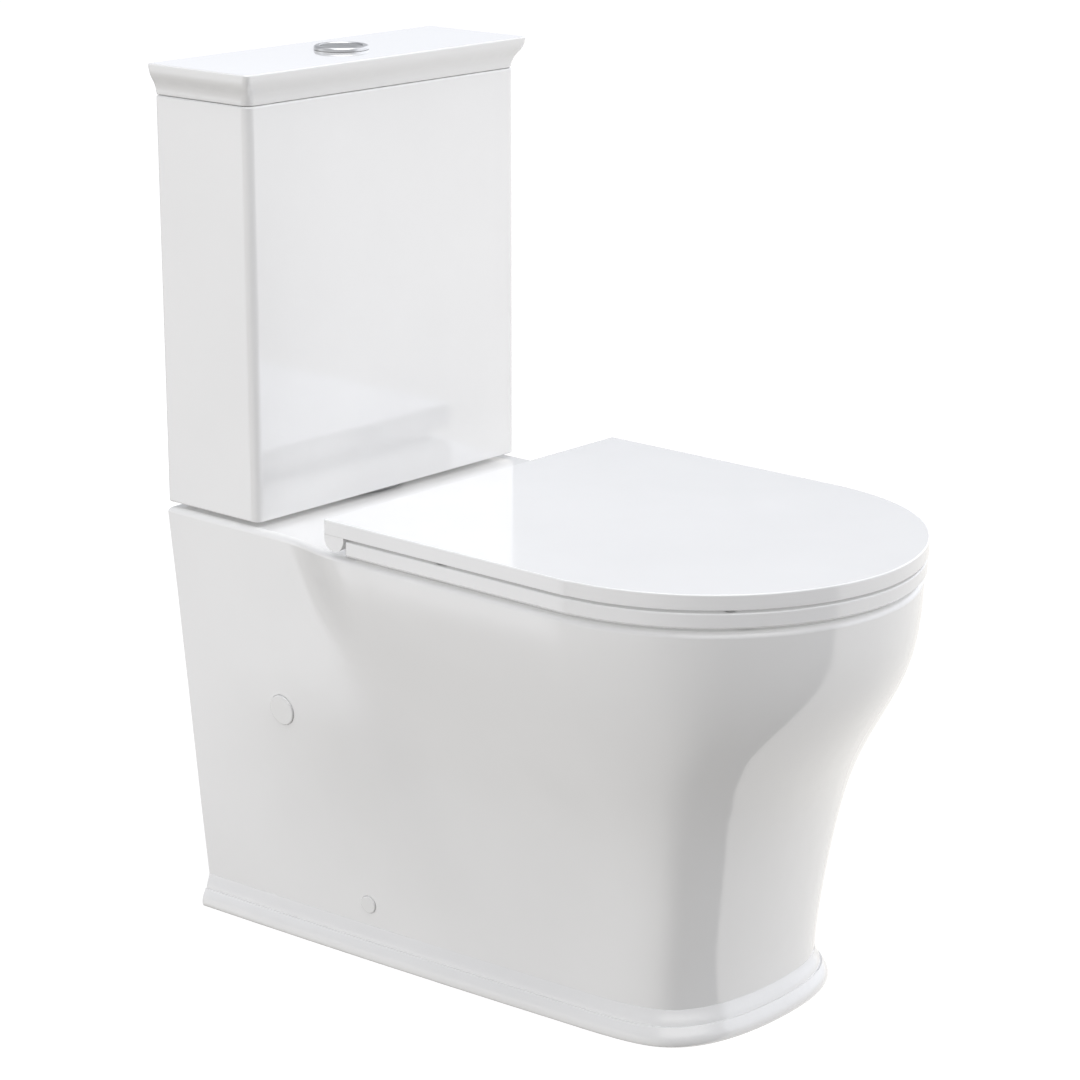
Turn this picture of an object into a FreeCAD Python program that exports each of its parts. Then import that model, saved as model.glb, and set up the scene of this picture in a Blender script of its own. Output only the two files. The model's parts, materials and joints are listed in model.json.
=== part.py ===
import FreeCAD, Part
import math
import os

# Close coupled toilet suite: shrouded back-to-wall pan, slim cistern with a moulded lid, D seat.
# Millimetres, +Z up, +X to the sitter's left when seated, -Y towards the front of the bowl.
# Depths d are measured forwards from the wall plane: y = WALL_Y - d.

os.makedirs("parts", exist_ok=True)

# ---------------------------------------------------------------- driving dimensions
WALL_Y = 339.25           # wall plane, so that the footprint is centred on the origin
RIM_Z = 392.0             # top of deck and rim
DECK_T = 16.0             # deck thickness
WALL_T = 10.5             # skirt wall
REAR_LEAN = 16.0          # the open back leans in this much from deck to floor
TAPER_END = 520.0         # depth at which the straight taper of the skirt ends
SIDE_BOW = 3.0            # slight outward bow of the skirt near the floor
SWELL_D0 = 150.0          # at the deck the bowl starts to swell out of the rear box here
SWELL_SLOPE = 0.40        # and further forward the lower down
SWELL_QUICK = 78.0        # length of the quick part of the swell
SWELL_SLOW = 185.0        # length of the slow part

# pan stations: height, rear half width, bowl half width, nose start, front, nose powers, swell
STATIONS = [
    (20.0, 149.5, 114.5, 436.0, 568.0, 5.5, 2.2, 0.0),
    (40.0, 151.0, 114.5, 446.0, 568.5, 5.4, 2.15, 0.0),
    (90.0, 154.5, 117.0, 466.0, 574.2, 4.9, 2.05, 0.05),
    (150.0, 158.0, 124.5, 477.0, 585.3, 4.3, 2.0, 0.2),
    (195.0, 160.5, 135.3, 480.0, 598.3, 3.55, 2.0, 0.4),
    (235.0, 163.0, 150.0, 473.0, 618.2, 2.92, 1.99, 0.6),
    (275.0, 165.5, 164.0, 468.0, 642.5, 2.65, 1.96, 0.8),
    (315.0, 168.0, 176.6, 467.0, 664.0, 2.4, 1.94, 0.95),
    (350.0, 170.6, 184.8, 469.0, 673.5, 2.27, 1.9, 1.0),
    (374.0, 172.3, 188.3, 472.0, 675.3, 2.22, 1.9, 1.0),
    (392.0, 173.5, 189.0, 474.0, 675.5, 2.2, 1.9, 1.0),
]

# stepped plinth: height and outward offset from the neck
PLINTH_LOWER = [(0.0, 10.0), (1.5, 11.2), (5.5, 11.6), (9.5, 10.6), (13.0, 8.8), (16.5, 6.9)]
PLINTH_UPPER = [(15.5, 5.5), (18.5, 5.1), (21.5, 3.9), (25.0, 2.1), (29.5, 0.35)]

# bowl stations: height, rear depth, front depth, half width (inner face)
BOWL = [
    (404.0, 284.0, 648.0, 140.0),
    (392.0, 285.5, 646.5, 138.5),
    (389.0, 289.0, 643.0, 135.0),
    (380.0, 291.0, 640.5, 132.5),
    (350.0, 292.5, 636.0, 130.0),
    (300.0, 299.0, 620.0, 121.0),
    (245.0, 316.0, 588.0, 103.0),
    (195.0, 338.0, 546.0, 82.0),
    (145.0, 360.0, 504.0, 60.0),
    (100.0, 380.0, 476.0, 46.0),
    (72.0, 396.0, 456.0, 32.0),
]
BOWL_T = 10.0
BOWL_FLOOR_Z = 66.0

TRAP_R = 36.0             # clear radius of the trapway
TRAP_T = 8.5
TRAP_Z = 100.0
OUTLET_Z = 185.0          # soil outlet height
OUTLET_R = 51.0
OUTLET_D = 96.0           # end face of the outlet spigot, from the wall
OUTLET_LEN = 50.0
DUCT_HALF = 32.0          # flush channel under the deck
DUCT_Z0 = 338.0
DUCT_T = 8.0

TANK_HALF = 171.6
TANK_D = 117.0
TANK_Z0 = 396.5
TANK_Z1 = 767.2
TANK_T = 8.0
TANK_FLOOR_T = 12.0
TANK_R = 8.5
FIT_D = 58.0              # depth of the fittings' centre line
INLET_X = 118.0
TANK_BOLT_X = 75.0

LID_Z0 = 767.5
LID_Z1 = 796.0
LID_T = 8.0
LID_PROFILE = [(0.0, -1.6), (1.2, -0.4), (4.0, 0.1), (7.0, 0.9), (10.5, 2.2), (13.5, 3.9),
               (16.5, 5.7), (19.5, 7.0), (23.0, 7.9), (26.0, 8.3), (28.5, 8.5)]

BUTTON_D = 60.0
BEZEL_R = 25.0
BEZEL_H = 3.6
BUTTON_R = 19.6
BUTTON_GAP = 0.35
SPLIT_X = 4.0             # line between full and half flush plates

SEAT_HALF = 192.5
SEAT_REAR = 221.0
SEAT_NOSE = 474.0
SEAT_NOSE_LEN = 204.5
SEAT_POW = (2.2, 1.9)
SEAT_Z = (395.7, 409.0, 411.6, 425.0)   # ring bottom, ring top, lid bottom, lid top
RING_REAR = 245.3
RING_HOLE = (318.0, 610.0, 114.0)
AXIS_D = 233.0            # seat hinge axis
AXIS_Z = 409.5
LIP_R = 11.6
HINGE_X = 77.5            # seat fixing centres are twice this apart
PIN_R = 4.0
PIN_FIT = 0.05

UPPER_CAP = (132.0, 223.0, 14.2)        # depth, height, radius
LOWER_CAP = (216.0, 50.0, 8.3)
BRACKET_X = 123.4         # outer face of the floor brackets
BRACKET_T = 4.0
FLOOR_HOLE_X = 101.4      # floor fixing holes are twice this apart

X_AXIS = FreeCAD.Vector(1, 0, 0)
Z_AXIS = FreeCAD.Vector(0, 0, 1)


# ---------------------------------------------------------------- helpers
def P(x, d, z):
    return FreeCAD.Vector(x, WALL_Y - d, z)


def box(x0, x1, d0, d1, z0, z1):
    return Part.makeBox(x1 - x0, d1 - d0, z1 - z0, P(x0, d1, z0))


def cyl_z(x, d, z0, z1, r):
    return Part.makeCylinder(r, z1 - z0, P(x, d, z0), Z_AXIS)


def tube_z(x, d, z0, z1, r_out, r_in):
    return cyl_z(x, d, z0, z1, r_out).cut(cyl_z(x, d, z0 - 1, z1 + 1, r_in))


def cyl_x(x0, x1, d, z, r):
    return Part.makeCylinder(r, x1 - x0, P(x0, d, z), X_AXIS)


def cone_z(x, d, z0, z1, r0, r1):
    return Part.makeCone(r0, r1, z1 - z0, P(x, d, z0), Z_AXIS)


def hex_z(x, d, z0, z1, across):
    r = across / math.sqrt(3.0)
    pts = []
    for i in range(7):
        a = math.radians(60.0 * i)
        pts.append(P(x + r * math.cos(a), d + r * math.sin(a), z0))
    face = Part.Face(Part.makePolygon(pts))
    return face.extrude(FreeCAD.Vector(0, 0, z1 - z0))


def fuse(shapes):
    out = shapes[0]
    for s in shapes[1:]:
        out = out.fuse(s)
    return out


def cut(shape, tools):
    for t in tools:
        shape = shape.cut(t)
    return shape


def common(a, b):
    return a.common(b)


def mirror_x(shape):
    return shape.mirror(FreeCAD.Vector(0, 0, 0), X_AXIS)


def edges_where(shape, test):
    return [e for e in shape.Edges if test(e.BoundBox)]


def rounded(shape, radius, test):
    edges = edges_where(shape, test)
    if not edges:
        raise ValueError("no edges to round")
    return shape.makeFillet(radius, edges)


def chamfered(shape, size, test):
    edges = edges_where(shape, test)
    if not edges:
        raise ValueError("no edges to chamfer")
    return shape.makeChamfer(size, edges)


def save(name, shape):
    shape = shape.removeSplitter()
    if not shape.isValid():
        shape.fix(0.001, 0.001, 0.001)
    volume = round(shape.Volume / 1000.0, 1)
    print(name, "solids", len(shape.Solids), "valid", shape.isValid(), "cm3", volume)
    if len(shape.Solids) == 1:
        shape = shape.Solids[0]
    else:
        shape = Part.makeCompound(shape.Solids)
    shape.exportStep("parts/" + name + ".step")


# ---------------------------------------------------------------- pan skin
def station(z):
    rows = STATIONS
    if z <= rows[0][0]:
        return rows[0][1:]
    for a, b in zip(rows, rows[1:]):
        if z <= b[0]:
            t = (z - a[0]) / (b[0] - a[0])
            return tuple(p + (q - p) * t for p, q in zip(a[1:], b[1:]))
    return rows[-1][1:]


def smooth(u):
    u = min(1.0, max(0.0, u))
    return u * u * (3.0 - 2.0 * u)


def side_half(d, z):
    rear, bowl, nose, front, n, m, swell = station(z)
    start = SWELL_D0 + SWELL_SLOPE * (RIM_Z - z)
    rise = 0.68 * smooth((d - start) / SWELL_QUICK) + 0.32 * smooth((d - start) / SWELL_SLOW)
    t = (1.0 - swell) * d / TAPER_END + swell * rise
    run = min(1.0, max(0.0, d / TAPER_END))
    bow = 4.0 * SIDE_BOW * (1.0 - swell) * run * (1.0 - run)
    return rear + (bowl - rear) * max(0.0, t) + bow


def skin_wire(z, grow, back):
    rear, bowl, nose, front, n, m, swell = station(z)
    reach = front + grow - nose
    half = []
    for i in range(16):
        d = back + (nose - back) * i / 16.0
        half.append((side_half(d, z) + grow, d))
    for i in range(15):
        a = math.radians(90.0 * i / 14.0)
        d = nose + reach * math.sin(a) ** (2.0 / n)
        x = (side_half(d, z) + grow) * max(0.0, math.cos(a)) ** (2.0 / m)
        half.append((x, d))
    half[-1] = (0.0, nose + reach)
    pts = [P(x, d, z) for x, d in half]
    pts += [P(-x, d, z) for x, d in reversed(half[:-1])]
    curve = Part.BSplineCurve()
    curve.interpolate(pts)
    line = Part.makeLine(pts[-1], pts[0])
    return Part.Wire([curve.toShape(), line])


def back_depth(z):
    return REAR_LEAN * (1.0 - z / RIM_Z)


def oval_wire(z, rear, front, half, power):
    mid = (rear + front) / 2.0
    reach = (front - rear) / 2.0
    pts = []
    for i in range(32):
        a = 2.0 * math.pi * i / 32
        c = math.cos(a)
        s = math.sin(a)
        x = math.copysign(half * abs(c) ** (2.0 / power), c)
        d = mid + math.copysign(reach * abs(s) ** (2.0 / power), s)
        pts.append(P(x, d, z))
    curve = Part.BSplineCurve()
    curve.interpolate(pts, PeriodicFlag=True)
    return Part.Wire(curve.toShape())


def bowl_loft(grow, floor_z):
    wires = []
    for z, rear, front, half in BOWL:
        shift = 0.0 if z > 375.0 else -grow * 0.6
        wires.append(oval_wire(z + shift, rear - grow, front + grow, half + grow, 2.15))
    z, rear, front, half = BOWL[-1]
    wires.append(oval_wire(floor_z, rear - grow + 12.0, front + grow - 12.0, half + grow - 12.0, 2.0))
    return Part.makeLoft(wires, True, False)


def trap_path():
    # start inside the sump, rise at 55 degrees over the weir, fall at 35 degrees to the outlet
    r = 60.0
    pts = []
    d = 426.0
    z = TRAP_Z
    turns = [("line", 54.0), ("arc", 55.0), ("line", 86.4), ("arc", -55.0), ("arc", -35.0),
             ("line", 26.6), ("arc", 35.0), ("line", 38.0)]
    edges = []
    heading = 0.0
    for kind, value in turns:
        if kind == "line":
            d2 = d - value * math.cos(heading)
            z2 = z + value * math.sin(heading)
            edges.append(Part.makeLine(P(0, d, z), P(0, d2, z2)))
        else:
            turn = math.radians(value)
            side = 1.0 if turn > 0 else -1.0
            cd = d + side * r * math.sin(heading)
            cz = z + side * r * math.cos(heading)
            mid = heading + turn / 2.0
            end = heading + turn
            pm = (cd - side * r * math.sin(mid), cz - side * r * math.cos(mid))
            d2 = cd - side * r * math.sin(end)
            z2 = cz - side * r * math.cos(end)
            edges.append(Part.Arc(P(0, d, z), P(0, pm[0], pm[1]), P(0, d2, z2)).toShape())
            heading = end
        d = d2
        z = z2
    return Part.Wire(edges), d, z


def trap_tube(radius):
    path, d, z = trap_path()
    start = P(0, 426.0, TRAP_Z)
    profile = Part.Wire(Part.makeCircle(radius, start, FreeCAD.Vector(0, 1, 0)))
    return path.makePipeShell([profile], True, False)


def surface_frame(side, d, z):
    # point on the skirt and its outward normal
    h = 1.0
    x = side_half(d, z)
    dx_dd = (side_half(d + h, z) - side_half(d - h, z)) / (2 * h)
    dx_dz = (side_half(d, z + h) - side_half(d, z - h)) / (2 * h)
    normal = FreeCAD.Vector(side, dx_dd, -dx_dz)
    normal.normalize()
    return P(side * x, d, z), normal


def disc_on_skin(side, spot, radius, inner, outer):
    point, normal = surface_frame(side, spot[0], spot[1])
    base = point.add(normal * inner)
    return Part.makeCylinder(radius, outer - inner, base, normal)


def pan_openings():
    bore = Part.makeCylinder(TRAP_R + 5.0, 20.0, P(0, OUTLET_D - 1.0, OUTLET_Z), FreeCAD.Vector(0, -1, 0))
    tools = [bowl_loft(0.0, BOWL_FLOOR_Z), trap_tube(TRAP_R), bore,
             box(-DUCT_HALF, DUCT_HALF, FIT_D - 34.0, 302.0, DUCT_Z0, RIM_Z - DECK_T),
             cyl_z(0, FIT_D, DUCT_Z0, RIM_Z + 1, 33.0),
             cone_z(0, FIT_D, RIM_Z - 9.0, RIM_Z + 0.01, 38.0, 42.0),
             cyl_z(INLET_X, FIT_D, 360, RIM_Z + 1, 22.0)]
    for side in (-1, 1):
        tools.append(cyl_z(side * TANK_BOLT_X, FIT_D, 360, RIM_Z + 1, 5.5))
        tools.append(cyl_z(side * HINGE_X, AXIS_D, 360, RIM_Z + 1, 6.0))
        tools.append(disc_on_skin(side, UPPER_CAP, UPPER_CAP[2] + 0.4, -1.2, 12.0))
        tools.append(disc_on_skin(side, UPPER_CAP, 10.0, -16.0, 2.0))
        tools.append(disc_on_skin(side, LOWER_CAP, LOWER_CAP[2] + 0.4, -1.0, 12.0))
        tools.append(disc_on_skin(side, LOWER_CAP, 6.6, -6.0, 2.0))
        tools.append(disc_on_skin(side, LOWER_CAP, 3.4, -18.0, 2.0))
    return tools


def pan_hollow(wall):
    heights = [-1.0] + [row[0] for row in STATIONS[1:-1]] + [RIM_Z - DECK_T]
    return Part.makeLoft([skin_wire(z, -wall, -30.0) for z in heights], True, False)


# the shroud with its deck, rim and plinth
def make_pan():
    wires = [skin_wire(row[0], 0.0, back_depth(row[0])) for row in STATIONS]
    skin = Part.makeLoft(wires, True, False)
    skin = rounded(skin, 5.0, lambda b: b.ZMin > RIM_Z - 0.2)
    lower = Part.makeLoft([skin_wire(z, g, back_depth(z)) for z, g in PLINTH_LOWER], True, False)
    upper = Part.makeLoft([skin_wire(z, g, back_depth(z)) for z, g in PLINTH_UPPER], True, False)
    outer = fuse([skin, lower, upper])
    return cut(outer.cut(pan_hollow(WALL_T)), pan_openings())


# bowl, trapway, outlet and flush channel: cast apart and stuck up under the deck
def make_pan_bowl():
    top = RIM_Z - DECK_T
    inside = fuse([bowl_loft(BOWL_T, BOWL_FLOOR_Z - BOWL_T),
                   trap_tube(TRAP_R + TRAP_T),
                   box(-DUCT_HALF - DUCT_T, DUCT_HALF + DUCT_T, FIT_D - 42.0, 300.0,
                       DUCT_Z0 - DUCT_T, top + 2.0)])
    inside = common(inside, pan_hollow(WALL_T + 0.3))
    spigot = Part.makeCylinder(OUTLET_R, OUTLET_LEN, P(0, OUTLET_D, OUTLET_Z), FreeCAD.Vector(0, -1, 0))
    return cut(fuse([inside, spigot]), pan_openings())


# ---------------------------------------------------------------- cistern
def round_rect(half, d0, d1, z, r_front, r_back):
    # plan outline with two front corner radii and two back corner radii
    def arc(cx, cd, r, a0, a1):
        pts = []
        for a in (a0, (a0 + a1) / 2.0, a1):
            t = math.radians(a)
            pts.append(P(cx + r * math.cos(t), cd + r * math.sin(t), z))
        return Part.Arc(pts[0], pts[1], pts[2]).toShape(), pts[0], pts[2]

    corners = [(half - r_front, d1 - r_front, r_front, 0, 90),
               (-half + r_front, d1 - r_front, r_front, 90, 180),
               (-half + r_back, d0 + r_back, r_back, 180, 270),
               (half - r_back, d0 + r_back, r_back, 270, 360)]
    arcs = [arc(*c) for c in corners]
    edges = []
    for i, item in enumerate(arcs):
        edges.append(item[0])
        edges.append(Part.makeLine(item[2], arcs[(i + 1) % 4][1]))
    return Part.Wire(edges)


def prism(wire, height):
    return Part.Face(wire).extrude(FreeCAD.Vector(0, 0, height))


def make_tank():
    body = prism(round_rect(TANK_HALF, 0.0, TANK_D, TANK_Z0, TANK_R, 2.0), TANK_Z1 - TANK_Z0)
    body = rounded(body, 1.9, lambda b: b.ZLength < 0.1)
    inner = prism(round_rect(TANK_HALF - TANK_T, TANK_T, TANK_D - TANK_T,
                             TANK_Z0 + TANK_FLOOR_T, TANK_R, 6.0), 400.0)
    inner = rounded(inner, 5.5, lambda b: b.ZMax < TANK_Z0 + TANK_FLOOR_T + 0.1)
    tools = [inner, cyl_z(0, FIT_D, TANK_Z0 - 1, TANK_Z0 + 40, 28.5)]
    for side in (-1, 1):
        tools.append(cyl_z(side * TANK_BOLT_X, FIT_D, TANK_Z0 - 1, TANK_Z0 + 40, 5.5))
    tools.append(cyl_z(INLET_X, FIT_D, TANK_Z0 - 1, TANK_Z0 + 40, 11.5))
    return cut(body, tools)


def make_cistern_lid():
    wires = []
    for h, grow in LID_PROFILE:
        wires.append(round_rect(TANK_HALF + grow, 0.0, TANK_D + grow, LID_Z0 + h,
                                TANK_R - 0.4 * grow, 2.0))
    body = Part.makeLoft(wires, True, False)
    body = rounded(body, 1.2, lambda b: b.ZMin > LID_Z1 - 0.2)
    hollow = prism(round_rect(TANK_HALF - 9.0, 9.0, TANK_D - 9.0, LID_Z0 - 5.0, 7.0, 5.0),
                   5.0 + LID_Z1 - LID_T - LID_Z0)
    body = body.cut(hollow)
    # locating rib that drops inside the tank walls
    rib = prism(round_rect(TANK_HALF - TANK_T - 2.0, TANK_T + 2.0, TANK_D - TANK_T - 2.0,
                           LID_Z0 - 6.0, 6.0, 5.0), LID_Z1 - LID_T - LID_Z0 + 6.5)
    rib = rib.cut(prism(round_rect(TANK_HALF - TANK_T - 8.0, TANK_T + 8.0, TANK_D - TANK_T - 8.0,
                                   LID_Z0 - 7.0, 4.0, 3.0), 60.0))
    body = body.fuse(rib)
    body = body.cut(cyl_z(0, BUTTON_D, LID_Z1 - 40.0, LID_Z1 + 1.0, 20.8))
    return body


# ---------------------------------------------------------------- flush button
def make_button_parts():
    top = LID_Z1 + 0.3
    bezel = cyl_z(0, BUTTON_D, top, top + BEZEL_H, BEZEL_R)
    bezel = rounded(bezel, 2.2, lambda b: b.ZMin > top + BEZEL_H - 0.1)
    bezel = bezel.fuse(cyl_z(0, BUTTON_D, LID_Z1 - 26.0, top + 0.5, 20.4))
    bezel = bezel.cut(cyl_z(0, BUTTON_D, LID_Z1 - 27.0, top + 9.0, BUTTON_R))
    bezel = chamfered(bezel, 0.7, lambda b: b.ZMin > top + BEZEL_H - 0.1 and b.XLength < 2 * BUTTON_R + 1)
    save("button_bezel", bezel)

    nut = tube_z(0, BUTTON_D, LID_Z1 - LID_T - 6.4, LID_Z1 - LID_T - 0.4, 28.0, 20.5)
    lugs = [box(-32, 32, BUTTON_D - 3, BUTTON_D + 3, LID_Z1 - LID_T - 6.4, LID_Z1 - LID_T - 0.4)]
    lugs = [lug.cut(cyl_z(0, BUTTON_D, LID_Z1 - 60, LID_Z1, 24.0)) for lug in lugs]
    save("button_nut", fuse([nut] + lugs))

    disc = cyl_z(0, BUTTON_D, LID_Z1 - 12.0, top + BEZEL_H - 0.9, BUTTON_R - BUTTON_GAP)
    hollow = cyl_z(0, BUTTON_D, LID_Z1 - 13.0, top - 1.5, BUTTON_R - 2.2)
    wide = box(-40, SPLIT_X - BUTTON_GAP / 2, 0, 120, 700, 900)
    slim = box(SPLIT_X + BUTTON_GAP / 2, 40, 0, 120, 700, 900)
    full = common(disc, wide)
    half = common(disc, slim)
    z_top = top + BEZEL_H - 0.9
    full = rounded(full, 0.8, lambda b: b.ZMin > z_top - 0.05)
    half = rounded(half, 0.8, lambda b: b.ZMin > z_top - 0.05)
    hollow_full = common(hollow, box(-40, SPLIT_X - 2.0, 0, 120, 700, 900))
    hollow_half = common(hollow, box(SPLIT_X + 2.0, 40, 0, 120, 700, 900))
    save("full_flush_button", full.cut(hollow_full))
    save("half_flush_button", half.cut(hollow_half))

    rod_z = 688.0
    for name, x in (("full_push_rod", -9.0), ("half_push_rod", 12.0)):
        rod = cyl_z(x, BUTTON_D, rod_z, top - 1.5, 2.2)
        rod = rod.fuse(cyl_z(x, BUTTON_D, rod_z, rod_z + 3.0, 4.0))
        save(name, rod)


# ---------------------------------------------------------------- flush valve
def make_flush_valve():
    floor = TANK_Z0 + TANK_FLOOR_T
    seat_z = floor + 14.0
    base = tube_z(0, FIT_D, 378.0, floor + 3.0, 27.8, 23.0)
    for i in range(5):
        z = 379.5 + 3.0 * i
        base = base.fuse(tube_z(0, FIT_D, z, z + 1.4, 28.2, 25.0))
    base = base.fuse(tube_z(0, FIT_D, floor + 2.7, floor + 6.5, 39.0, 23.0))
    base = base.fuse(tube_z(0, FIT_D, floor + 6.0, seat_z, 26.0, 23.0))
    for i in range(4):
        a = math.radians(45 + 90 * i)
        x = 34.0 * math.cos(a)
        d = FIT_D + 34.0 * math.sin(a)
        base = base.fuse(cyl_z(x, d, floor + 6.0, floor + 92.0, 3.0))
    ring = tube_z(0, FIT_D, floor + 88.0, floor + 96.0, 38.5, 30.0)
    base = base.fuse(ring)
    save("flush_valve_base", base)

    save("flush_valve_washer", tube_z(0, FIT_D, floor + 0.2, floor + 2.6, 37.0, 28.3))

    seal = tube_z(0, FIT_D, seat_z + 0.1, seat_z + 3.2, 27.5, 15.4)
    save("flush_seal", seal)

    riser = tube_z(0, FIT_D, seat_z - 6.0, floor + 236.0, 15.0, 12.5)
    riser = riser.fuse(tube_z(0, FIT_D, seat_z + 3.4, seat_z + 7.0, 25.0, 14.0))
    save("overflow_riser", riser)

    # bayonet tower that stands on the base ring, with slots for water and the float
    t0 = floor + 96.3
    tower = tube_z(0, FIT_D, t0, floor + 252.0, 37.0, 34.5)
    tower = tower.fuse(tube_z(0, FIT_D, t0, t0 + 3.0, 37.0, 17.0))
    slots = []
    for i in range(3):
        slot = box(-9, 9, FIT_D, FIT_D + 60, t0 + 18.0, floor + 212.0)
        slot.rotate(P(0, FIT_D, 0), Z_AXIS, 60 + 120 * i)
        slots.append(slot)
    tower = cut(tower, slots)
    cap = tube_z(0, FIT_D, floor + 252.0 - 3.0, floor + 252.0, 36.0, 17.0)
    tower = tower.fuse(cap)
    save("flush_tower", tower)

    half_float = tube_z(0, FIT_D, floor + 122.0, floor + 160.0, 32.0, 17.5)
    half_float = half_float.cut(tube_z(0, FIT_D, floor + 121.0, floor + 157.0, 30.5, 19.0))
    save("half_flush_float", half_float)

    nut = hex_z(0, FIT_D, 379.0, 385.5, 62.0).cut(cyl_z(0, FIT_D, 370, 400, 28.5))
    nut = common(nut, cyl_z(0, FIT_D, 370, 400, 32.4))
    save("flush_valve_backnut", nut)

    gasket = tube_z(0, FIT_D, 386.0, 396.2, 36.5, 28.8)
    gasket = gasket.fuse(tube_z(0, FIT_D, 392.3, 396.2, 52.0, 28.8))
    save("coupling_gasket", gasket)


# ---------------------------------------------------------------- fill valve
def make_fill_valve():
    floor = TANK_Z0 + TANK_FLOOR_T
    x = INLET_X
    body = tube_z(x, FIT_D, 346.0, floor + 6.0, 10.4, 6.0)
    for i in range(9):
        z = 348.0 + 3.2 * i
        body = body.fuse(tube_z(x, FIT_D, z, z + 1.4, 10.9, 8.0))
    body = body.fuse(tube_z(x, FIT_D, floor + 2.8, floor + 7.0, 17.0, 6.0))
    body = body.fuse(tube_z(x, FIT_D, floor + 6.0, floor + 214.0, 9.5, 6.0))
    body = body.fuse(cyl_z(x, FIT_D, floor + 212.0, floor + 232.0, 17.0))
    for d0 in (FIT_D - 5.0, FIT_D + 2.0):
        body = body.fuse(box(x - 34.0, x - 14.5, d0, d0 + 3.0, floor + 222.0, floor + 240.0))
    pivot = P(x - 28.0, FIT_D + 20.0, floor + 235.0)
    body = body.cut(Part.makeCylinder(1.6, 40.0, pivot, FreeCAD.Vector(0, 1, 0)))
    save("fill_valve_body", body)

    cap = cyl_z(x, FIT_D, floor + 232.3, floor + 243.0, 14.0)
    cap = rounded(cap, 2.0, lambda b: b.ZMin > floor + 242.9)
    save("fill_valve_cap", cap)

    cup = tube_z(x, FIT_D, floor + 120.0, floor + 176.0, 26.0, 10.2)
    cup = cup.cut(tube_z(x, FIT_D, floor + 119.0, floor + 173.5, 24.2, 12.0))
    cup = cup.fuse(cyl_z(x - 20.0, FIT_D, floor + 172.0, floor + 209.0, 1.6))
    save("float_cup", cup)

    pivot = P(x - 28.0, FIT_D + 6.0, floor + 235.0)
    pin = Part.makeCylinder(1.55, 12.0, pivot, FreeCAD.Vector(0, 1, 0))
    lever = box(x - 42.0, x - 18.4, FIT_D - 1.6, FIT_D + 1.6, floor + 233.0, floor + 237.0)
    lever = lever.fuse(box(x - 21.6, x - 18.4, FIT_D - 1.6, FIT_D + 1.6, floor + 212.0, floor + 235.0))
    lever = lever.fuse(pin)
    save("float_lever", lever)

    save("inlet_washer", tube_z(x, FIT_D, floor + 0.2, floor + 2.6, 16.0, 11.2))
    nut = hex_z(x, FIT_D, 386.5, 396.2, 30.0).cut(cyl_z(x, FIT_D, 380, 400, 11.2))
    save("inlet_backnut", nut)


# ---------------------------------------------------------------- tank bolts
def make_tank_bolts():
    floor = TANK_Z0 + TANK_FLOOR_T
    under = RIM_Z - DECK_T
    bolts = []
    washers = []
    plates = []
    nuts = []
    for side in (-1, 1):
        x = side * TANK_BOLT_X
        head = cyl_z(x, FIT_D, floor + 3.2, floor + 8.2, 8.0)
        head = rounded(head, 2.0, lambda b: b.ZMin > floor + 8.1)
        head = head.cut(box(x - 1, x + 1, FIT_D - 9, FIT_D + 9, floor + 6.2, floor + 9.0))
        bolts.append(head.fuse(cyl_z(x, FIT_D, 346.0, floor + 4.0, 4.0)))
        washers.append(tube_z(x, FIT_D, floor + 0.2, floor + 2.9, 10.0, 4.3))
        plates.append(tube_z(x, FIT_D, under - 2.2, under - 0.3, 11.0, 4.3))
        nut = tube_z(x, FIT_D, under - 9.5, under - 2.5, 7.5, 4.15)
        wings = box(x - 15, x + 15, FIT_D - 1.6, FIT_D + 1.6, under - 14.0, under - 3.5)
        wings = wings.cut(cyl_z(x, FIT_D, 300, 400, 6.0))
        nuts.append(nut.fuse(wings))
    save("tank_bolts", Part.makeCompound(bolts))
    save("tank_bolt_washers", Part.makeCompound(washers))
    save("tank_bolt_plates", Part.makeCompound(plates))
    save("wing_nuts", Part.makeCompound(nuts))


# ---------------------------------------------------------------- seat
def seat_wire(z, inset, rear, corner):
    w = SEAT_HALF - inset
    n, m = SEAT_POW
    reach = SEAT_NOSE_LEN - inset
    pts = []
    for i in range(33):
        a = math.pi * i / 32
        c = math.cos(a)
        x = math.copysign(w * abs(c) ** (2.0 / m), c)
        d = SEAT_NOSE + reach * max(0.0, math.sin(a)) ** (2.0 / n)
        pts.append(P(x, d, z))
    pts[0] = P(w, SEAT_NOSE, z)
    pts[-1] = P(-w, SEAT_NOSE, z)
    curve = Part.BSplineCurve()
    curve.interpolate(pts, InitialTangent=FreeCAD.Vector(0, -1, 0), FinalTangent=FreeCAD.Vector(0, 1, 0))
    k = corner * (1.0 - math.sqrt(0.5))
    right = Part.Arc(P(w, rear + corner, z), P(w - k, rear + k, z), P(w - corner, rear, z)).toShape()
    left = Part.Arc(P(-w + corner, rear, z), P(-w + k, rear + k, z), P(-w, rear + corner, z)).toShape()
    edges = [curve.toShape(),
             Part.makeLine(P(-w, SEAT_NOSE, z), P(-w, rear + corner, z)),
             left,
             Part.makeLine(P(-w + corner, rear, z), P(w - corner, rear, z)),
             right,
             Part.makeLine(P(w, rear + corner, z), P(w, SEAT_NOSE, z))]
    return Part.Wire(Part.__sortEdges__(edges))


def hinge_pocket():
    # clears the post and the ring's knuckle under the lid's rear skin
    x0 = HINGE_X - 30.0
    x1 = HINGE_X + 13.0
    tool = cyl_x(x0, x1, AXIS_D, AXIS_Z, 11.2)
    tool = tool.fuse(box(x0, x1, SEAT_REAR - 5, RING_REAR + 2.0, SEAT_Z[0] - 6, AXIS_Z))
    tool = tool.fuse(box(x0, x1, SEAT_REAR - 5, AXIS_D, SEAT_Z[0] - 6, AXIS_Z + 11.2))
    return fuse([tool, mirror_x(tool)])


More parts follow.
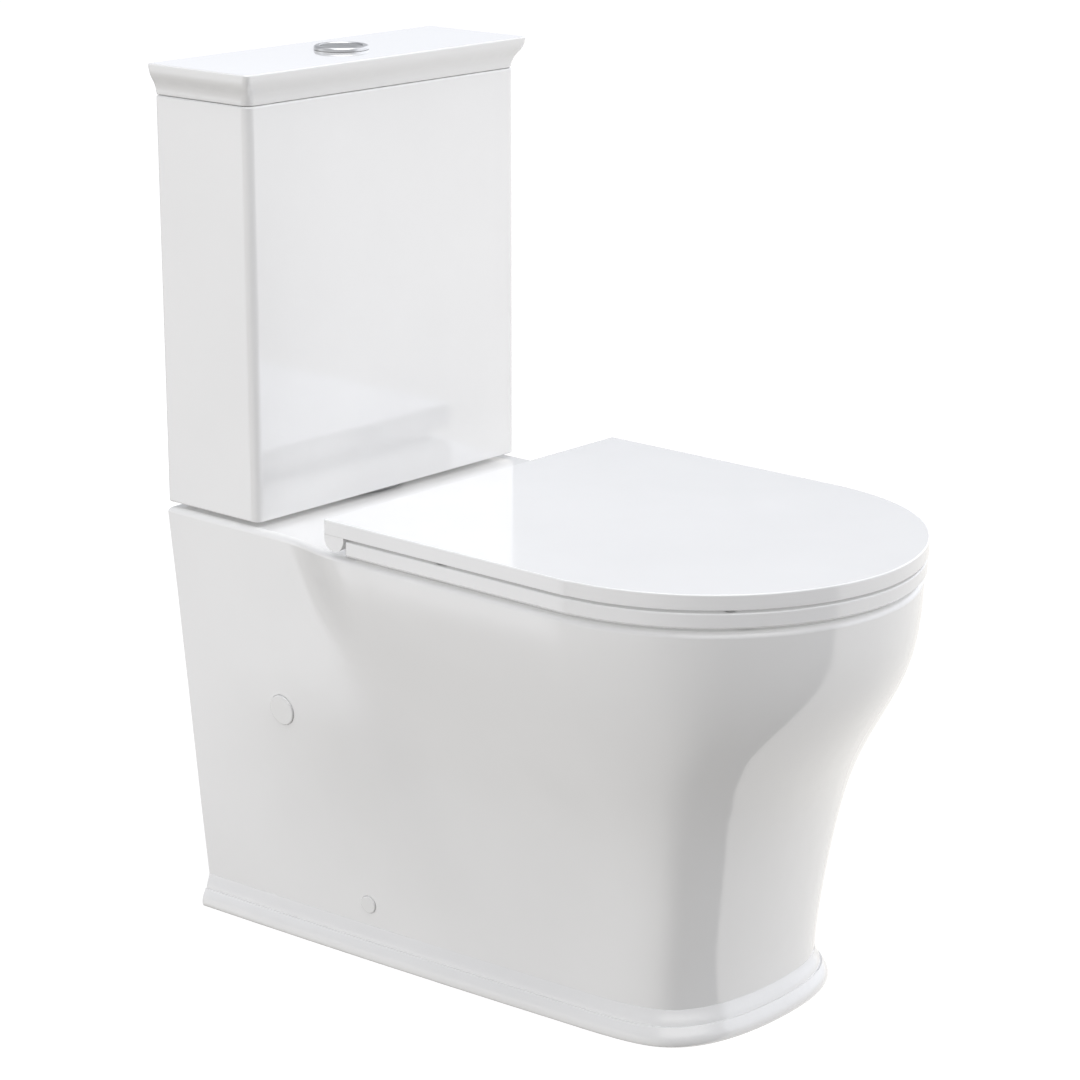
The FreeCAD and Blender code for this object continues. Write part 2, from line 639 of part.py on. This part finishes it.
def make_seat_lid():
    z0 = SEAT_Z[2]
    z1 = SEAT_Z[3]
    plate = prism(seat_wire(z0, 0.0, SEAT_REAR, 2.5), z1 - z0)
    plate = rounded(plate, 1.2, lambda b: b.ZMin > z1 - 0.1)
    plate = rounded(plate, 0.8, lambda b: b.ZMax < z0 + 0.1)
    recess = prism(seat_wire(z0 - 1.0, 16.0, RING_REAR + 10.0, 14.0), 1.0 + (z1 - z0) - 7.4)
    plate = plate.cut(recess)
    w = SEAT_HALF - 0.3
    lip = cyl_x(-w, w, AXIS_D, AXIS_Z, LIP_R)
    lip = lip.fuse(box(-w, w, AXIS_D - LIP_R, AXIS_D + LIP_R, AXIS_Z, z0 + 2.0))
    lid = plate.fuse(lip)
    tools = [hinge_pocket()]
    for side in (-1, 1):
        a = side * (HINGE_X + 10.0)
        b = side * (HINGE_X + 31.0)
        tools.append(cyl_x(min(a, b), max(a, b), AXIS_D, AXIS_Z, PIN_R + PIN_FIT))
        a = side * (HINGE_X + 31.0)
        b = side * (HINGE_X + 75.4)
        tools.append(cyl_x(min(a, b), max(a, b), AXIS_D, AXIS_Z, 7.0))
    return cut(lid, tools)


def make_seat_ring():
    z0 = SEAT_Z[0]
    z1 = SEAT_Z[1]
    ring = prism(seat_wire(z0, 0.8, RING_REAR, 3.0), z1 - z0)
    hole = prism(oval_wire(z0 - 1.0, RING_HOLE[0], RING_HOLE[1], RING_HOLE[2], 2.1), 40.0)
    ring = ring.cut(hole)
    inner = lambda b: b.XLength < 2 * RING_HOLE[2] + 2 and b.YLength < 320 and b.YMax < WALL_Y - 300
    ring = rounded(ring, 5.0, lambda b: inner(b) and b.ZMin > z1 - 0.1 and b.XLength > 100)
    ring = rounded(ring, 2.0, lambda b: inner(b) and b.ZMax < z0 + 0.1 and b.XLength > 100)
    outer = lambda b: not (inner(b) and b.XLength > 100)
    ring = rounded(ring, 1.2, lambda b: outer(b) and b.ZMin > z1 - 0.1)
    ring = chamfered(ring, 1.8, lambda b: outer(b) and b.ZMax < z0 + 0.1)
    for side in (-1, 1):
        x0 = side * (HINGE_X - 28.5)
        x1 = side * (HINGE_X - 12.5)
        a = min(x0, x1)
        b = max(x0, x1)
        ring = ring.fuse(cyl_x(a, b, AXIS_D, AXIS_Z, 9.4))
        ring = ring.fuse(box(a, b, AXIS_D + 2.0, RING_REAR + 12.0, z0 + 2.0, z1 - 0.5))
    for side in (-1, 1):
        x0 = side * (HINGE_X - 30.0)
        x1 = side * (HINGE_X - 10.0)
        ring = ring.cut(cyl_x(min(x0, x1), max(x0, x1), AXIS_D, AXIS_Z, PIN_R + PIN_FIT))
    return ring


def make_hinges():
    under = RIM_Z - DECK_T
    for side, tag in ((-1, "left"), (1, "right")):
        x = side * HINGE_X
        post = box(x - 11.0, x + 11.0, AXIS_D - 7.0, AXIS_D + 8.0, RIM_Z + 0.2, AXIS_Z)
        post = post.fuse(cyl_x(x - 11.0, x + 11.0, AXIS_D, AXIS_Z, 9.4))
        post = post.fuse(cyl_z(x, AXIS_D, RIM_Z + 0.2, RIM_Z + 2.2, 14.0))
        post = post.cut(cyl_x(x - 12.0, x + 12.0, AXIS_D, AXIS_Z, PIN_R))
        post = post.cut(cyl_z(x, AXIS_D, RIM_Z - 1.0, AXIS_Z - 5.5, 3.0))
        save("hinge_post_" + tag, post)
        a = x - side * 28.5
        b = x + side * 30.5
        pin = cyl_x(min(a, b), max(a, b), AXIS_D, AXIS_Z, PIN_R)
        save("hinge_pin_" + tag, pin)
        a = x + side * 31.2
        b = x + side * 75.2
        damper = cyl_x(min(a, b), max(a, b), AXIS_D, AXIS_Z, 7.0)
        save("soft_close_damper_" + tag, damper)
    bolts = []
    washers = []
    nuts = []
    for side in (-1, 1):
        x = side * HINGE_X
        bolts.append(cyl_z(x, AXIS_D, 340.0, AXIS_Z - 5.7, 3.0))
        washer = cone_z(x, AXIS_D, under - 5.5, under - 0.3, 9.0, 12.0)
        washers.append(washer.cut(cyl_z(x, AXIS_D, 300, 400, 3.3)))
        nut = hex_z(x, AXIS_D, under - 16.0, under - 6.0, 16.0)
        nuts.append(nut.cut(cyl_z(x, AXIS_D, 300, 400, 3.1)))
    save("seat_bolts", Part.makeCompound(bolts))
    save("seat_bolt_washers", Part.makeCompound(washers))
    save("seat_bolt_nuts", Part.makeCompound(nuts))


def make_buffers():
    def pads(spots, z0, z1, r):
        out = []
        for x, d in spots:
            for side in (-1, 1):
                pad = cyl_z(side * x, d, z0, z1, r)
                pad = rounded(pad, 1.0, lambda b: b.ZMax < z0 + 0.05)
                out.append(pad)
        return Part.makeCompound(out)

    save("ring_buffers", pads([(160.0, 330.0), (104.0, 612.0)], RIM_Z + 0.2, SEAT_Z[0], 8.0))
    save("lid_buffers", pads([(183.5, 352.0), (128.0, 616.0)], SEAT_Z[1] + 0.2, SEAT_Z[2], 4.5))


# ---------------------------------------------------------------- pan fixings
def make_pan_fixings():
    caps = {"upper": (UPPER_CAP, 1.6, 9.6, 6.0), "lower": (LOWER_CAP, 1.3, 6.3, 2.4)}
    for side, tag in ((-1, "left"), (1, "right")):
        for level in ("upper", "lower"):
            spot, proud, plug_r, plug_len = caps[level]
            seat = -0.9
            cap = disc_on_skin(side, spot, spot[2], seat, proud)
            point, normal = surface_frame(side, spot[0], spot[1])
            tip = point.add(normal * proud)
            rim = [e for e in cap.Edges if e.CenterOfMass.distanceToPoint(tip) < 0.1]
            cap = cap.makeFillet(1.1, rim)
            cap = cap.fuse(disc_on_skin(side, spot, plug_r, seat - plug_len, seat + 0.2))
            save("cap_" + level + "_" + tag, cap)
        d, z, r = LOWER_CAP
        a = sorted((side * (BRACKET_X - BRACKET_T), side * BRACKET_X))
        up = box(a[0], a[1], d - 17.0, d + 17.0, 0.3, z + 14.0)
        b = sorted((side * (BRACKET_X - 38.0), side * BRACKET_X))
        flat = box(b[0], b[1], d - 17.0, d + 17.0, 0.3, 0.3 + BRACKET_T)
        bracket = up.fuse(flat)
        bracket = bracket.cut(disc_on_skin(side, LOWER_CAP, 3.1, -34.0, -8.0))
        bracket = bracket.cut(cyl_z(side * FLOOR_HOLE_X, d, -1, 10, 3.6))
        save("floor_bracket_" + tag, bracket)
        screw = disc_on_skin(side, LOWER_CAP, 2.8, -26.0, -5.5)
        screw = screw.fuse(disc_on_skin(side, LOWER_CAP, 5.6, -5.7, -3.7))
        save("side_screw_" + tag, screw)


save("pan", make_pan())
save("pan_bowl", make_pan_bowl())
save("cistern_tank", make_tank())
save("cistern_lid", make_cistern_lid())
make_button_parts()
make_flush_valve()
make_fill_valve()
make_tank_bolts()
save("seat_lid", make_seat_lid())
save("seat_ring", make_seat_ring())
make_hinges()
make_buffers()
make_pan_fixings()
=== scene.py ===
import bpy
import json
import math
from mathutils import Matrix, Vector


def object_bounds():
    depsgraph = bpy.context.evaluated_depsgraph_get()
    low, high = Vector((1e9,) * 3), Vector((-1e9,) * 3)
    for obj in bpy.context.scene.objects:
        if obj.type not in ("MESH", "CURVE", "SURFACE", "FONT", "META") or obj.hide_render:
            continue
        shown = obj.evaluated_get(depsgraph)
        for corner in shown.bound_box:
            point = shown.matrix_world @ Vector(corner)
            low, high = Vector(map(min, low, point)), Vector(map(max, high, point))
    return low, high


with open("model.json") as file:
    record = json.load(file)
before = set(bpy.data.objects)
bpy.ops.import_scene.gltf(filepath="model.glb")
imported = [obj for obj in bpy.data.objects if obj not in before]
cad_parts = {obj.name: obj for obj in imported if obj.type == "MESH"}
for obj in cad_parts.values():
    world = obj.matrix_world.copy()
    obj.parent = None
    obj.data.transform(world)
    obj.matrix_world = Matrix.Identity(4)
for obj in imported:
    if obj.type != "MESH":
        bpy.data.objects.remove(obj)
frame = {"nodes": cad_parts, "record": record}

cad_lo, cad_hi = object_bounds()
nodes = frame["nodes"]


# ------------------------------------------------------------------ node helpers
def new_material(name):
    mat = bpy.data.materials.new(name)
    mat.use_nodes = True
    tree = mat.node_tree
    tree.nodes.clear()
    out = tree.nodes.new("ShaderNodeOutputMaterial")
    shader = tree.nodes.new("ShaderNodeBsdfPrincipled")
    tree.links.new(shader.outputs["BSDF"], out.inputs["Surface"])
    return mat, tree, shader


def add(tree, kind, **props):
    node = tree.nodes.new(kind)
    for key, value in props.items():
        setattr(node, key, value)
    return node


def put(node, **values):
    for key, value in values.items():
        node.inputs[key.replace("_", " ")].default_value = value


def noise(tree, coord, scale, detail=3.0, rough=0.5):
    node = add(tree, "ShaderNodeTexNoise")
    node.inputs["Scale"].default_value = scale
    node.inputs["Detail"].default_value = detail
    node.inputs["Roughness"].default_value = rough
    tree.links.new(coord, node.inputs["Vector"])
    return node.outputs["Fac"]


def remap(tree, value, lo, hi, in_lo=0.3, in_hi=0.7):
    node = add(tree, "ShaderNodeMapRange")
    node.inputs["From Min"].default_value = in_lo
    node.inputs["From Max"].default_value = in_hi
    node.inputs["To Min"].default_value = lo
    node.inputs["To Max"].default_value = hi
    tree.links.new(value, node.inputs["Value"])
    return node.outputs["Result"]


def tint(tree, value, dark, light, lo=0.3, hi=0.7):
    node = add(tree, "ShaderNodeValToRGB")
    node.color_ramp.elements[0].position = lo
    node.color_ramp.elements[0].color = (*dark, 1.0)
    node.color_ramp.elements[1].position = hi
    node.color_ramp.elements[1].color = (*light, 1.0)
    tree.links.new(value, node.inputs["Fac"])
    return node.outputs["Color"]


def bump(tree, shader, heights):
    # heights: (value socket, distance in metres, strength)
    last = None
    for value, distance, strength in heights:
        node = add(tree, "ShaderNodeBump")
        node.inputs["Distance"].default_value = distance
        node.inputs["Strength"].default_value = strength
        tree.links.new(value, node.inputs["Height"])
        if last is not None:
            tree.links.new(last, node.inputs["Normal"])
        last = node.outputs["Normal"]
    tree.links.new(last, shader.inputs["Normal"])
    return last


def object_coord(tree):
    return add(tree, "ShaderNodeTexCoord").outputs["Object"]


# ------------------------------------------------------------------ materials
# strength of the painted light on the downward faces under the seat parts and the cistern, which lifts
# the shade in the gaps
SEAT_GAP_PAINTED_LIGHT = 0.2
CISTERN_GAP_PAINTED_LIGHT = 0.14


def paint_gap_light(tree, shader, painted_light):
    # painted light: faces that look straight down glow a little, standing in for light caught in the thin
    # gaps
    normal = add(tree, "ShaderNodeNewGeometry").outputs["Normal"]
    parts = add(tree, "ShaderNodeSeparateXYZ")
    tree.links.new(normal, parts.inputs[0])
    strength = remap(tree, parts.outputs["Z"], painted_light, 0.0, -0.98, -0.90)
    tree.links.new(strength, shader.inputs["Emission Strength"])
    shader.inputs["Emission Color"].default_value = (1.0, 1.0, 0.99, 1.0)


def glazed_china(name, dark=(0.81, 0.809, 0.808), light=(0.845, 0.844, 0.843), painted_light=0.0):
    mat, tree, shader = new_material(name)
    coord = object_coord(tree)
    # painted light: downward faces glow to lift the shade in the gaps
    if painted_light > 0.0:
        paint_gap_light(tree, shader, painted_light)
    cloud = noise(tree, coord, 5.0, 4.0, 0.55)
    tree.links.new(tint(tree, cloud, dark, light), shader.inputs["Base Color"])
    smear = noise(tree, coord, 14.0, 5.0, 0.6)
    tree.links.new(remap(tree, smear, 0.07, 0.13), shader.inputs["Roughness"])
    put(shader, IOR=1.55, Coat_Weight=1.0, Coat_Roughness=0.02, Coat_IOR=1.6)
    wave = noise(tree, coord, 7.0, 1.0, 0.4)
    peel = noise(tree, coord, 420.0, 2.0, 0.5)
    bump(tree, shader, [(wave, 0.0012, 0.25), (peel, 0.00002, 0.35)])
    return mat


def moulded(name, dark, light, rough=(0.10, 0.2), grain=900.0, coat=0.2, grain_height=0.00002, painted_light=0.0):
    mat, tree, shader = new_material(name)
    coord = object_coord(tree)
    # painted light: downward faces glow to lift the shade in the gaps
    if painted_light > 0.0:
        paint_gap_light(tree, shader, painted_light)
    cloud = noise(tree, coord, 9.0, 3.0, 0.5)
    tree.links.new(tint(tree, cloud, dark, light), shader.inputs["Base Color"])
    smear = noise(tree, coord, 26.0, 4.0, 0.6)
    tree.links.new(remap(tree, smear, *rough), shader.inputs["Roughness"])
    put(shader, IOR=1.5, Coat_Weight=coat, Coat_Roughness=0.08)
    fine = noise(tree, coord, grain, 2.0, 0.6)
    wave = noise(tree, coord, 12.0, 1.0, 0.4)
    bump(tree, shader, [(wave, 0.0005, 0.15), (fine, grain_height, 0.4)])
    return mat


def brushed(name, dark, light, rough=(0.16, 0.30), stretch=(6.0, 220.0, 60.0)):
    mat, tree, shader = new_material(name)
    coord = object_coord(tree)
    scale = add(tree, "ShaderNodeMapping")
    scale.inputs["Scale"].default_value = stretch
    tree.links.new(coord, scale.inputs["Vector"])
    line = noise(tree, scale.outputs["Vector"], 12.0, 4.0, 0.7)
    tree.links.new(tint(tree, line, dark, light), shader.inputs["Base Color"])
    tree.links.new(remap(tree, line, *rough), shader.inputs["Roughness"])
    put(shader, Metallic=1.0)
    bump(tree, shader, [(line, 0.00002, 0.3)])
    return mat


def rubber(name, dark, light, rough=(0.5, 0.75), grain=1400.0):
    mat, tree, shader = new_material(name)
    coord = object_coord(tree)
    speck = noise(tree, coord, grain, 3.0, 0.6)
    dust = noise(tree, coord, 40.0, 4.0, 0.6)
    tree.links.new(tint(tree, dust, dark, light), shader.inputs["Base Color"])
    tree.links.new(remap(tree, speck, *rough), shader.inputs["Roughness"])
    bump(tree, shader, [(speck, 0.00006, 0.5)])
    return mat


# one look for each material slot of the CAD
LOOKS = {
    "ceramic_white": glazed_china("china_glaze"),
    "seat_plastic": moulded("seat_gloss", (0.82, 0.82, 0.822), (0.845, 0.845, 0.848),
                            rough=(0.09, 0.15), grain=700.0, coat=1.0, painted_light=SEAT_GAP_PAINTED_LIGHT),
    "chrome_satin": brushed("satin_chrome", (0.58, 0.585, 0.59), (0.68, 0.685, 0.69),
                            rough=(0.28, 0.40)),
    "abs_grey": moulded("grey_moulding", (0.42, 0.43, 0.44), (0.50, 0.51, 0.52),
                        rough=(0.30, 0.45), grain=1200.0, coat=0.0, grain_height=0.00005),
    "abs_white": moulded("white_moulding", (0.74, 0.74, 0.73), (0.80, 0.80, 0.79),
                         rough=(0.22, 0.35), grain=1200.0, coat=0.0, grain_height=0.00005),
    "pom_blue": moulded("blue_moulding", (0.02, 0.07, 0.22), (0.03, 0.10, 0.28),
                        rough=(0.28, 0.42), grain=1200.0, coat=0.0, grain_height=0.00005),
    "rubber_black": rubber("black_rubber", (0.012, 0.012, 0.012), (0.03, 0.03, 0.03)),
    "rubber_clear": rubber("pale_rubber", (0.55, 0.55, 0.54), (0.66, 0.66, 0.65), rough=(0.35, 0.5)),
    "zinc_steel": brushed("zinc_steel", (0.45, 0.46, 0.47), (0.62, 0.62, 0.63),
                          rough=(0.25, 0.45), stretch=(40.0, 40.0, 40.0)),
    "brass_nickel": brushed("brass_hardware", (0.52, 0.38, 0.16), (0.70, 0.54, 0.26),
                            rough=(0.22, 0.4), stretch=(30.0, 30.0, 60.0)),
    "foam_black": rubber("closed_cell_foam", (0.015, 0.015, 0.016), (0.035, 0.035, 0.036),
                         rough=(0.7, 0.9), grain=500.0),
}

# nodes whose surface differs from the rest of their slot
button_plate = brushed("button_plate", (0.42, 0.425, 0.43), (0.50, 0.505, 0.51), rough=(0.36, 0.48))
gloss_cap = moulded("gloss_cap", (0.81, 0.81, 0.805), (0.84, 0.84, 0.835), rough=(0.10, 0.18), coat=0.8)
OWN_LOOKS = {
    "full_flush_button": button_plate,
    "half_flush_button": button_plate,
    "cistern_tank": glazed_china("cistern_glaze", painted_light=CISTERN_GAP_PAINTED_LIGHT),
    "coupling_gasket": rubber("grey_foam", (0.30, 0.30, 0.30), (0.38, 0.38, 0.38),
                              rough=(0.7, 0.9), grain=500.0),
}
for level in ("upper", "lower"):
    for side in ("left", "right"):
        OWN_LOOKS["cap_" + level + "_" + side] = gloss_cap

slot_of = {}
for item in frame["record"]["subparts"]:
    slot_of[item["node"]] = item["material_slot"]

for name, obj in nodes.items():
    look = OWN_LOOKS.get(name, LOOKS[slot_of[name]])
    if not obj.material_slots:
        obj.data.materials.append(look)
    for slot in obj.material_slots:
        slot.material = look


# ------------------------------------------------------------------ floor
FLOOR_DROP = 0.0004       # the sweep lies this far below the object
FLOOR_RADIUS = 30.0
FLOOR_STEPS = 48
# how far the sweep goes past its flat radius, and how high it has risen there
SWEEP = [(0.0, 0.0), (3.0, 0.4), (6.0, 2.0), (8.0, 5.0), (9.0, 12.0), (9.0, 40.0)]
FLOOR_GLOW = 0.86


# one white sweep: flat out to a wide radius, then curving up into a far wall
def sweep_mesh():
    ground = cad_lo.z - FLOOR_DROP
    verts = []
    for reach, z in SWEEP:
        r = FLOOR_RADIUS + reach
        for i in range(FLOOR_STEPS):
            a = 2.0 * math.pi * i / FLOOR_STEPS
            verts.append((r * math.cos(a), r * math.sin(a), ground + z))
    faces = [tuple(range(FLOOR_STEPS))]
    for k in range(len(SWEEP) - 1):
        row = k * FLOOR_STEPS
        above = row + FLOOR_STEPS
        for i in range(FLOOR_STEPS):
            j = (i + 1) % FLOOR_STEPS
            faces.append((row + i, row + j, above + j, above + i))
    mesh = bpy.data.meshes.new("floor")
    mesh.from_pydata(verts, [], faces)
    return mesh


def pale_floor():
    mat, tree, shader = new_material("pale_floor")
    cloud = noise(tree, object_coord(tree), 3.0, 3.0, 0.5)
    tree.links.new(tint(tree, cloud, (0.24, 0.24, 0.24), (0.26, 0.26, 0.26)), shader.inputs["Base Color"])
    tree.links.new(remap(tree, cloud, 0.8, 0.9), shader.inputs["Roughness"])
    put(shader, Specular_IOR_Level=0.0, Emission_Color=(1.0, 1.0, 1.0, 1.0), Emission_Strength=FLOOR_GLOW)
    return mat


def make_floor():
    floor = bpy.data.objects.new("floor", sweep_mesh())
    bpy.context.scene.collection.objects.link(floor)
    floor.data.materials.append(pale_floor())
    # only the camera sees the sweep; the object is lit by the soft boxes and the panel
    floor.visible_diffuse = False
    floor.visible_glossy = False
    floor.visible_transmission = False
    floor.visible_shadow = False


make_floor()


# ------------------------------------------------------------------ light
# Soft boxes of a round studio. Each has a name, two azimuths and the softness of those edges, two
# elevations and the softness of those edges, a tint and a strength. Angles are in degrees;
# azimuth runs from the -X side (0) to the front, -Y (90). FULL_TURN boxes go all the way round.
FULL_TURN = 360
WARM = (1.02, 1.0, 0.97)
WHITE = (1.0, 1.0, 1.0)
COOL = (0.965, 0.985, 1.04)
SOFTBOXES = [
    ("around_low", -180, 180, 0, -91, 0, 24, WARM, 0.12),
    ("around_high", -180, 180, 0, 0, 91, 24, COOL, 0.48),
    ("front_right_low", 109, 226, 5, -80, -6, 8, WARM, 0.85),
    ("front_right_mid", 109, 203, 12, -6, 35, 12, COOL, 1.07),
    ("rear_left_strip", -59, -39, 8, -27, 45, 10, COOL, 0.56),
    ("left_glow", -80, 28, 60, -84, 5, 16, WARM, 0.76),
    ("rear_low", 197, 270, 20, -6, 12, 8, COOL, 0.46),
    ("rear_mid", 195, 270, 20, 12, 30, 8, COOL, 0.1),
    ("left_high", -60, 12, 18, 42, 68, 8, WHITE, 0.6),
    ("near_high", 20, 97, 20, 20, 60, 16, WARM, 0.9),
    ("right_high", 100, 195, 20, 35, 65, 12, WHITE, 0.4),
]


def studio_world(boxes):
    world = bpy.data.worlds.new("studio")
    bpy.context.scene.world = world
    world.use_nodes = True
    tree = world.node_tree
    tree.nodes.clear()
    out = add(tree, "ShaderNodeOutputWorld")
    back = add(tree, "ShaderNodeBackground")
    tree.links.new(back.outputs["Background"], out.inputs["Surface"])
    direction = add(tree, "ShaderNodeTexCoord").outputs["Generated"]
    parts = add(tree, "ShaderNodeSeparateXYZ")
    tree.links.new(direction, parts.inputs[0])

    def calc(kind, a, b=None):
        node = add(tree, "ShaderNodeMath", operation=kind)
        for socket, value in zip(node.inputs, (a, b)):
            if value is None:
                continue
            if isinstance(value, (int, float)):
                socket.default_value = value
            else:
                tree.links.new(value, socket)
        return node.outputs[0]

    def ramp(value, lo, hi):
        node = add(tree, "ShaderNodeMapRange", interpolation_type="SMOOTHSTEP")
        node.inputs["From Min"].default_value = lo
        node.inputs["From Max"].default_value = hi
        tree.links.new(value, node.inputs["Value"])
        return node.outputs["Result"]

    height = calc("ARCSINE", parts.outputs["Z"])
    total = None
    for name, az0, az1, az_soft, el0, el1, el_soft, colour, strength in boxes:
        s = math.radians(el_soft) / 2.0
        t = math.radians(az_soft) / 2.0
        level = calc("MULTIPLY", ramp(height, math.radians(el0) - s, math.radians(el0) + s),
                     ramp(height, math.radians(el1) + s, math.radians(el1) - s))
        if az1 - az0 < FULL_TURN:
            mid = math.radians(az0 + az1) / 2.0
            half = math.radians(az1 - az0) / 2.0
            # turn the direction so that the box is straight ahead
            ahead = calc("ADD", calc("MULTIPLY", parts.outputs["X"], -math.cos(mid)),
                         calc("MULTIPLY", parts.outputs["Y"], -math.sin(mid)))
            aside = calc("ADD", calc("MULTIPLY", parts.outputs["X"], math.sin(mid)),
                         calc("MULTIPLY", parts.outputs["Y"], -math.cos(mid)))
            off = calc("ABSOLUTE", calc("ARCTAN2", aside, ahead))
            level = calc("MULTIPLY", level, ramp(off, half + t, half - t))
        level = calc("MULTIPLY", level, strength)
        tinted = add(tree, "ShaderNodeVectorMath", operation="SCALE", label=name)
        tinted.inputs[0].default_value = colour
        tree.links.new(level, tinted.inputs["Scale"])
        if total is None:
            total = tinted.outputs[0]
        else:
            both = add(tree, "ShaderNodeVectorMath", operation="ADD")
            tree.links.new(total, both.inputs[0])
            tree.links.new(tinted.outputs[0], both.inputs[1])
            total = both.outputs[0]
    tree.links.new(total, back.inputs["Color"])


PANEL_PLACE = Vector((-0.3, -0.3, 3.4))
PANEL_TARGET = Vector((0.0, -0.05, 0.4))
PANEL_SIDE = 2.6
PANEL_POWER = 51.0


def ceiling_panel():
    light = bpy.data.lights.new("ceiling_panel", "AREA")
    light.shape = "RECTANGLE"
    light.size = PANEL_SIDE
    light.size_y = PANEL_SIDE
    light.energy = PANEL_POWER
    light.color = WHITE
    panel = bpy.data.objects.new("ceiling_panel", light)
    panel.location = PANEL_PLACE
    panel.rotation_mode = "QUATERNION"
    panel.rotation_quaternion = (PANEL_TARGET - PANEL_PLACE).to_track_quat("-Z", "Y")
    bpy.context.scene.collection.objects.link(panel)


studio_world(SOFTBOXES)
ceiling_panel()
bpy.context.scene.view_settings.view_transform = "Standard"


# ------------------------------------------------------------------ camera
cam_data = bpy.data.cameras.new("camera")
cam_data.sensor_width = 36.0
cam_data.lens = 106.4
cam_data.clip_start = 0.05
cam_data.clip_end = 100.0
cam = bpy.data.objects.new("camera", cam_data)
bpy.context.scene.collection.objects.link(cam)
turn = Matrix.Rotation(math.radians(-48.48), 4, "Z")
tilt = Matrix.Rotation(math.radians(90.0 - 16.07), 4, "X")
cam.matrix_world = Matrix.Translation((-2.0495, -1.77525, 1.1683)) @ turn @ tilt
bpy.context.scene.camera = cam
